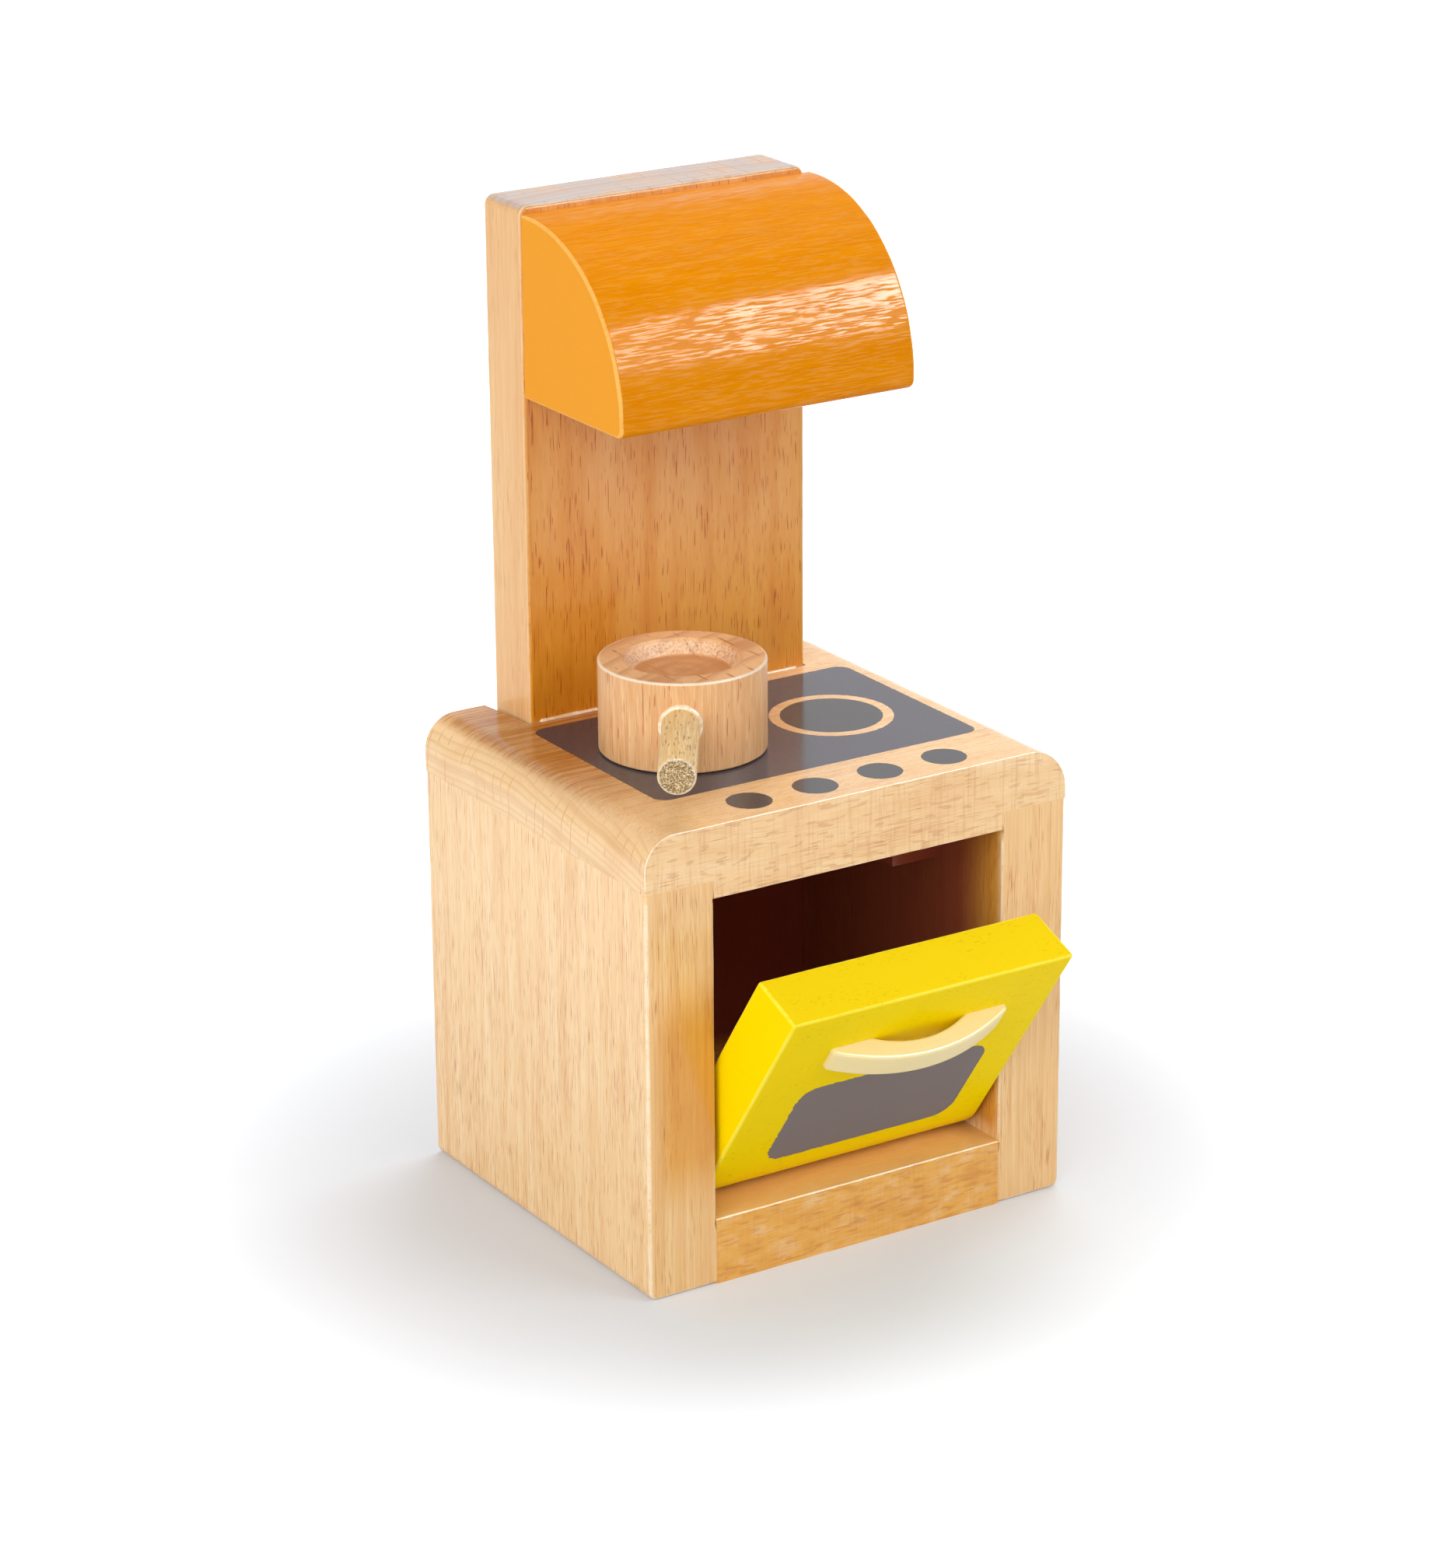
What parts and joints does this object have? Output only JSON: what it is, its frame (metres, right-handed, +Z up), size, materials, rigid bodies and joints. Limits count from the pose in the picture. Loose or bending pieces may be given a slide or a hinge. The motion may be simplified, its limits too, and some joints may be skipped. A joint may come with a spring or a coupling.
{
  "type": "dollhouse kitchen",
  "caption": "Wooden dollhouse kitchen block: oven with a drop-down door, printed hob, loose saucepan and a back board with a quarter-round cooker hood.",
  "frame": {"origin": "middle of the cabinet's footprint, on the underside that stands on the floor", "axes": "+X to the right seen from the front, +Y to the back, +Z up"},
  "size_m": [0.0654, 0.074, 0.1345],
  "materials": {
    "beech": "gloss lacquer over beech grain",
    "pale_beech": "bare turned beech, satin",
    "dowel_wood": "bare pale dowel, matte",
    "orange_paint": "gloss orange paint on wood",
    "yellow_paint": "gloss yellow paint on wood, grey window print",
    "cream_plastic": "smooth gloss moulding",
    "steel": "drawn steel pin"
  },
  "bodies": {
    "cabinet": {"worktop": "beech", "side_panel_left": "beech", "side_panel_right": "beech", "bottom_board": "beech", "back_board": "beech", "range_hood": "orange_paint", "door_stop": "beech", "worktop_dowel_left_front": "dowel_wood", "worktop_dowel_left_rear": "dowel_wood", "bottom_dowel_left_front": "dowel_wood", "bottom_dowel_left_rear": "dowel_wood", "worktop_dowel_right_front": "dowel_wood", "worktop_dowel_right_rear": "dowel_wood", "bottom_dowel_right_front": "dowel_wood", "bottom_dowel_right_rear": "dowel_wood", "back_board_dowel_left": "dowel_wood", "hood_dowel_left": "dowel_wood", "back_board_dowel_right": "dowel_wood", "hood_dowel_right": "dowel_wood"},
    "door": {"oven_door": "yellow_paint", "door_handle": "cream_plastic", "door_pin_left": "steel", "door_pin_right": "steel"},
    "pot": {"pot_body": "pale_beech", "pot_handle": "dowel_wood"}
  },
  "joints": [
    {"name": "door_hinge", "type": "hinge", "parent": "cabinet", "child": "door", "pos_m": [0, -0.0171, 0.013], "axis": [1, 0, 0], "range_deg": [-35.2, 0]},
    {"name": "pot_lift", "type": "slide", "parent": "cabinet", "child": "pot", "axis": [0, -0.6, 0.8], "range_m": [0, 0.12]}
  ]
}
